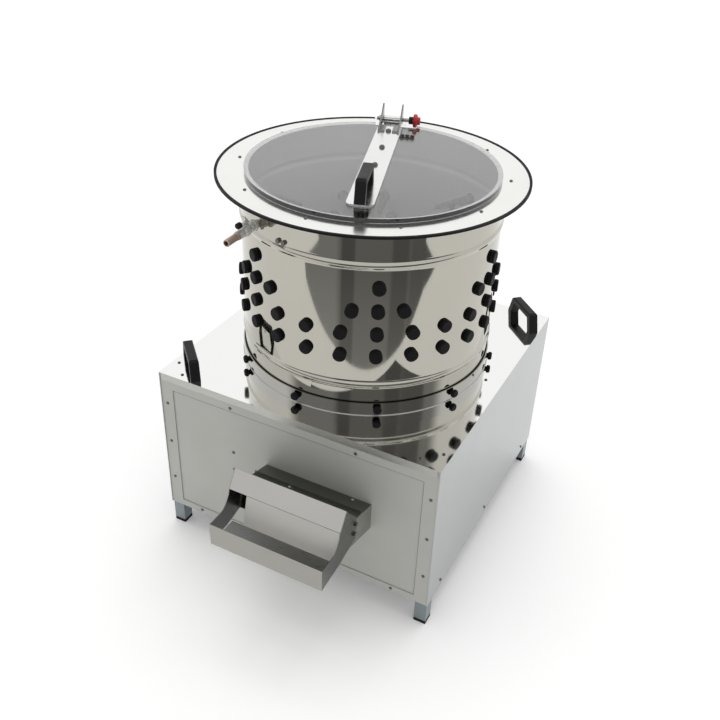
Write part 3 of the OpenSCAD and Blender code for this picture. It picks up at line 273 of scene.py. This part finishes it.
FINISH = {
    cover_steel: ["top_cover"],
    drum_steel: ["drum_shell"],
    collar_steel: ["drum_collar", "rotor_plate"],
    rim_steel: ["drum_rim"],
    strap_steel: ["lid_strap", "hinge_leaf"],
    hinge_steel: ["lid_ears"],
    panel_steel: ["front_panel", "front_frame", "feather_pan"],
    side_steel: ["left_panel", "right_panel", "back_panel"],
    leg_steel: ["legs"],
    flap_steel: ["chute_flap"],
    curtain_steel: ["chute_curtain"],
    guard_shaded_steel: ["chute_guard"],
    hood_shaded_steel: ["chute_hood"],
    screw_steel: ["buffer_studs", "hinge_pin"],
    dark_screw: ["cabinet_screws", "rim_screws", "drum_bolts", "chute_bolts", "strap_screws", "sensor_plate"],
    machine_steel: ["cross_rails", "shaft_bearings", "motor_plate", "rotor_shaft", "motor_rotor"],
    cast_metal: ["bearing_tube", "rotor_hub", "driven_pulley"],
    motor_paint: ["motor"],
    valve_metal: ["inlet_socket", "valve_body", "valve_lever"],
    brass: ["hose_tail"],
    rubber: [
        "foot_caps", "drum_seal", "drum_buffers", "rim_trim",
        "lower_fingers", "upper_fingers", "rotor_fingers",
    ],
    belt_rubber: ["drive_belt"],
    black_plastic: [
        "carry_handle_front", "carry_handle_rear", "cable_gland", "lid_handle", "hinge_spacer", "lever_grip"
    ],
    lid_plastic: ["lid_disc"],
    red_plastic: ["hinge_knob", "stop_button"],
    green_plastic: ["start_button"],
    grey_plastic: ["switch_box"],
}

for material, names in FINISH.items():
    for name in names:
        mesh = nodes[name].data
        mesh.materials.clear()
        mesh.materials.append(material)


# Pieces of the looks


def add_piece(name, points, faces, material, body, smooth=False):
    """A mesh piece that rides on a body and takes the given material."""
    mesh = bpy.data.meshes.new(name)
    mesh.from_pydata([tuple(p) for p in points], [], faces)
    mesh.update()
    mesh.polygons.foreach_set("use_smooth", [smooth] * len(faces))
    mesh.materials.append(material)
    piece = bpy.data.objects.new(name, mesh)
    bpy.context.scene.collection.objects.link(piece)
    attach(piece, body)
    return piece


def lathe(profile, turns, centre):
    """Points and faces of a closed profile of radius and height, turned about an upright axis."""
    points = []
    for i in range(turns):
        angle = 2.0 * math.pi * i / turns
        for radius, height in profile:
            x = centre[0] + radius * math.cos(angle)
            y = centre[1] + radius * math.sin(angle)
            points.append((x, y, height))
    count = len(profile)
    faces = []
    for i in range(turns):
        here, there = i * count, (i + 1) % turns * count
        for k in range(count):
            after = (k + 1) % count
            faces.append((here + k, there + k, there + after, here + after))
    return points, faces


# Drum wall with the two rolled beads of the solid, turned finely so that its mirror stays smooth
WALL_TURNS = 288
WALL_T = 1.5 * MM
BEAD_OUT = 3.0 * MM
BEAD_W = 18.0 * MM
BEAD_STEPS = 14
BEAD_SIDE = 1.5 * MM
BEAD_UPS = (65.0 * MM, 306.0 * MM)
CABINET_TOP = 390.0 * MM
SHARP_ANGLE = math.radians(50.0)


def wall_line(radius, low, high):
    """Upright line of radius and height with its beads."""
    line = [(radius, low)]
    for up in BEAD_UPS:
        line.append((radius, CABINET_TOP + up - 0.5 * BEAD_W - BEAD_SIDE))
        for step in range(BEAD_STEPS + 1):
            share = step / BEAD_STEPS
            bulge = 0.5 - 0.5 * math.cos(2.0 * math.pi * share)
            line.append((radius + BEAD_OUT * bulge, CABINET_TOP + up + BEAD_W * (share - 0.5)))
        line.append((radius, CABINET_TOP + up + 0.5 * BEAD_W + BEAD_SIDE))
    line.append((radius, high))
    return line


def drum_wall():
    """Polished outside and duller lining of the drum, in place of its solid."""
    low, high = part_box("drum_shell")
    outer = 0.5 * (high.x - low.x) - BEAD_OUT
    profile = wall_line(outer, low.z, high.z) + wall_line(outer - WALL_T, low.z, high.z)[::-1]
    points, faces = lathe(profile, WALL_TURNS, DRUM_AXIS)
    wall = add_piece("drum_wall", points, faces, drum_steel, "machine", True)
    wall.data.set_sharp_from_angle(angle=SHARP_ANGLE)
    wall.data.materials.append(lining_steel)
    half = len(profile) // 2
    for face in wall.data.polygons:
        face.material_index = 1 if face.index % len(profile) >= half else 0
    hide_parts("drum_shell")


drum_wall()


def bars(boxes):
    """Points and faces of upright boxes from their lowest and highest corners."""
    points, faces = [], []
    for low, high in boxes:
        base = len(points)
        for z in (low[2], high[2]):
            points += [(low[0], low[1], z), (high[0], low[1], z), (high[0], high[1], z), (low[0], high[1], z)]
        faces += [[base + k for k in face] for face in (
            (3, 2, 1, 0), (4, 5, 6, 7), (0, 1, 5, 4), (1, 2, 6, 5), (2, 3, 7, 6), (3, 0, 4, 7)
        )]
    return points, faces


# Light seam round the collar's foot, where it meets the cover
COLLAR_R = 250.0 * MM
FOOT_SEAM = 1.4 * MM
FOOT_SINK = 0.3 * MM
FOOT_STEPS = 5


def collar_foot():
    inside = COLLAR_R - FOOT_SINK
    profile = [(inside, CABINET_TOP + FOOT_SEAM), (inside, CABINET_TOP - FOOT_SINK)]
    for step in range(FOOT_STEPS + 1):
        angle = 0.5 * math.pi * step / FOOT_STEPS
        out = FOOT_SEAM * math.cos(angle)
        up = FOOT_SEAM * math.sin(angle)
        profile.append((COLLAR_R + out, CABINET_TOP + up))
    points, faces = lathe(profile, WALL_TURNS, DRUM_AXIS)
    add_piece("collar_foot", points, faces, machine_steel, "machine", True)


collar_foot()


# Dark joint lines round the window of the front frame
SEAM_W = 0.7 * MM
SEAM_RISE = 0.08 * MM
PANEL_LAP = 11.0 * MM


def front_seams():
    frame_low, frame_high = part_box("front_frame")
    panel_low, panel_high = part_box("front_panel")
    left, right = panel_low.x + PANEL_LAP, panel_high.x - PANEL_LAP
    foot, top = panel_low.z + PANEL_LAP, panel_high.z - PANEL_LAP
    face = frame_low.y - SEAM_RISE
    deep = frame_low.y + SEAM_RISE
    points, faces = bars([
        ((left - SEAM_W, face, foot - SEAM_W), (left, deep, top + SEAM_W)),
        ((right, face, foot - SEAM_W), (right + SEAM_W, deep, top + SEAM_W)),
        ((left, face, foot - SEAM_W), (right, deep, foot)),
        ((left, face, top), (right, deep, top + SEAM_W)),
    ])
    add_piece("front_seams", points, faces, dark_gap, "machine")


front_seams()


# Small round heads


def dome(centre, axis, radius, height, rings=5, turns=20):
    """Points and faces of a round head on a face, given the middle of its foot and the way it stands out."""
    up = Vector(axis).normalized()
    side = up.orthogonal().normalized()
    other = up.cross(side)
    points = []
    for ring in range(rings):
        lift = 0.5 * math.pi * ring / rings
        for turn in range(turns):
            angle = 2.0 * math.pi * turn / turns
            out = side * math.cos(angle) + other * math.sin(angle)
            points.append(Vector(centre) + out * radius * math.cos(lift) + up * height * math.sin(lift))
    points.append(Vector(centre) + up * height)
    faces = []
    for ring in range(rings - 1):
        for turn in range(turns):
            after = (turn + 1) % turns
            here, there = ring * turns, (ring + 1) * turns
            faces.append((here + turn, here + after, there + after, there + turn))
    last = (rings - 1) * turns
    for turn in range(turns):
        faces.append((last + turn, last + (turn + 1) % turns, len(points) - 1))
    return points, faces


def joined(parts):
    """Several lists of points and faces as one."""
    points, faces = [], []
    for part_points, part_faces in parts:
        base = len(points)
        points += part_points
        faces += [[base + k for k in face] for face in part_faces]
    return points, faces


# Rivets on the hood: across, in front of the cabinet's face, and height
RIVET_R = 3.4 * MM
RIVET_H = 1.8 * MM
HOOD_TILT = math.radians(14.0)
HOOD_RIVETS = [(22.0, 40.0, 266.5), (136.0, 4.0, 257.6)]
CABINET_FACE = -235.5 * MM


def hood_rivets():
    square = (0.0, math.sin(HOOD_TILT), math.cos(HOOD_TILT))
    heads = []
    for x, reach, z in HOOD_RIVETS:
        foot = (x * MM, CABINET_FACE - reach * MM, z * MM)
        heads.append(dome(foot, square, RIVET_R, RIVET_H))
    points, faces = joined(heads)
    add_piece("hood_rivets", points, faces, screw_steel, "machine", True)


hood_rivets()


# Lower lips of the guard's arms, as distance in front of the cabinet and height over the hood's lower edge
LIP_LINE = [
    (60.0, 40.0), (99.0, 44.0), (127.0, 25.0), (183.0, 11.0), (183.0, 9.0),
    (155.0, 12.5), (122.0, 16.0), (92.0, 23.0), (62.0, 31.0),
]
LIP_T = 1.5 * MM
LIP_INSET = 0.05 * MM
ARM_SIDES = (-58.0 * MM, 171.5 * MM)
CHUTE_Z = 197.0 * MM


def arm_lips():
    parts = []
    count = len(LIP_LINE)
    for side in ARM_SIDES:
        points = []
        for x in (side + LIP_INSET, side + LIP_T - LIP_INSET):
            points += [(x, CABINET_FACE - reach * MM, CHUTE_Z + up * MM) for reach, up in LIP_LINE]
        faces = [list(range(count))[::-1], list(range(count, 2 * count))]
        for k in range(count):
            after = (k + 1) % count
            faces.append([k, after, count + after, count + k])
        parts.append((points, faces))
    points, faces = joined(parts)
    # The lips face sideways and so take the guard's darker painted shade.
    add_piece("arm_lips", points, faces, guard_shaded_steel, "machine")


arm_lips()


# Stage


def seen_rays(tree):
    """Two values: 1 for rays from mirrors, and 1 for rays from the camera, mirrors and glass."""
    path = tree.nodes.new("ShaderNodeLightPath")
    glossy = path.outputs["Is Glossy Ray"]
    through = path.outputs["Is Transmission Ray"]
    mirror = math_node(tree, "MULTIPLY", glossy, math_node(tree, "SUBTRACT", 1.0, through))
    seen = math_node(tree, "MAXIMUM", path.outputs["Is Camera Ray"], glossy)
    return mirror, math_node(tree, "MAXIMUM", seen, through)


def pale_floor():
    """White paper turned to the camera's heading, with a glow for seen rays so that it keeps its shadow."""
    heading = math.radians(CAMERA_TURN[2])
    ahead = Vector((math.sin(heading), -math.cos(heading), 0.0))
    across = Vector((math.cos(heading), math.sin(heading), 0.0))
    middle = Vector((*DRUM_AXIS, 0.0))
    outline = [(-FLOOR_SIDE, FLOOR_WING), *FLOOR_FRONT, (FLOOR_SIDE, FLOOR_WING)]
    outline += [(FLOOR_SIDE, -FLOOR_SIDE), (-FLOOR_SIDE, -FLOOR_SIDE)]
    corners = [middle + across * out + ahead * on for out, on in outline]
    mesh = bpy.data.meshes.new("floor")
    mesh.from_pydata(corners, [], [tuple(range(len(corners)))])
    floor = bpy.data.objects.new("floor", mesh)
    bpy.context.scene.collection.objects.link(floor)
    material, tree, shader = new_material("floor_paper", FLOOR_COLOUR, 0.0, 0.9)
    shader.inputs["Specular IOR Level"].default_value = 0.0
    shader.inputs["Emission Color"].default_value = (1.0, 1.0, 1.0, 1.0)
    seen = seen_rays(tree)[1]
    tree.links.new(math_node(tree, "MULTIPLY", seen, FLOOR_GLOW), shader.inputs["Emission Strength"])
    mesh.materials.append(material)


pale_floor()


def studio_world():
    """A soft white room, with dim parts behind the camera that only mirrors show."""
    world = bpy.data.worlds.new("studio")
    bpy.context.scene.world = world
    world.use_nodes = True
    tree = world.node_tree
    background = tree.nodes["Background"]
    place = tree.nodes.new("ShaderNodeTexCoord")
    split = tree.nodes.new("ShaderNodeSeparateXYZ")
    tree.links.new(place.outputs["Generated"], split.inputs["Vector"])
    ahead = math_node(tree, "MULTIPLY", split.outputs["Y"], -1.0)
    heading = math_node(tree, "ARCTAN2", split.outputs["X"], ahead)
    heading = math_node(tree, "SUBTRACT", heading, math.radians(CAMERA_TURN[2]))
    low = spread_node(tree, split.outputs["Z"], *DIM_LOW, 1.0, 0.0, True)
    band = spread_node(tree, split.outputs["Z"], *DIM_BAND, 0.0, 1.0, True)
    band_end = spread_node(tree, split.outputs["Z"], *DIM_BAND_END, 1.0, 0.0, True)
    heights = math_node(tree, "ADD", low, math_node(tree, "MULTIPLY", band, band_end))
    deep = spread_node(tree, split.outputs["Z"], DIM_DEEP, DIM_FULL, DIM_DEEP_SHARE, 1.0)
    mirror, seen = seen_rays(tree)
    reach = math_node(tree, "MULTIPLY", math_node(tree, "MULTIPLY", heights, deep), mirror)
    level = math_node(tree, "ADD", math_node(tree, "MULTIPLY", seen, 1.0 - WORLD_LEVEL), WORLD_LEVEL)
    for centre, core, edge, depth in DIM_PARTS:
        away = math_node(tree, "ABSOLUTE", math_node(tree, "SUBTRACT", heading, math.radians(centre)))
        dim = spread_node(tree, away, math.radians(core), math.radians(edge), depth, 0.0, True)
        kept = math_node(tree, "SUBTRACT", 1.0, math_node(tree, "MULTIPLY", dim, reach))
        level = math_node(tree, "MULTIPLY", level, kept)
    tree.links.new(level, background.inputs["Strength"])
    background.inputs["Color"].default_value = (1.0, 1.0, 1.0, 1.0)


studio_world()


def soft_sun():
    """A wide, soft light from above, which mirrors don't show."""
    lamp = bpy.data.lights.new("sun", "SUN")
    lamp.energy = SUN_LEVEL
    lamp.angle = math.radians(SUN_SPREAD)
    sun = bpy.data.objects.new("sun", lamp)
    sun.rotation_euler = Vector(SUN_FROM).to_track_quat("Z", "Y").to_euler()
    sun.visible_glossy = False
    bpy.context.scene.collection.objects.link(sun)


soft_sun()


def photo_camera():
    lens = bpy.data.cameras.new("camera")
    lens.lens = CAMERA_LENS
    lens.sensor_width = CAMERA_SENSOR
    camera = bpy.data.objects.new("camera", lens)
    camera.location = CAMERA_PLACE
    camera.rotation_euler = Euler([math.radians(a) for a in CAMERA_TURN], "XYZ")
    bpy.context.scene.collection.objects.link(camera)
    bpy.context.scene.camera = camera


photo_camera()

bpy.context.scene.view_settings.view_transform = "Standard"
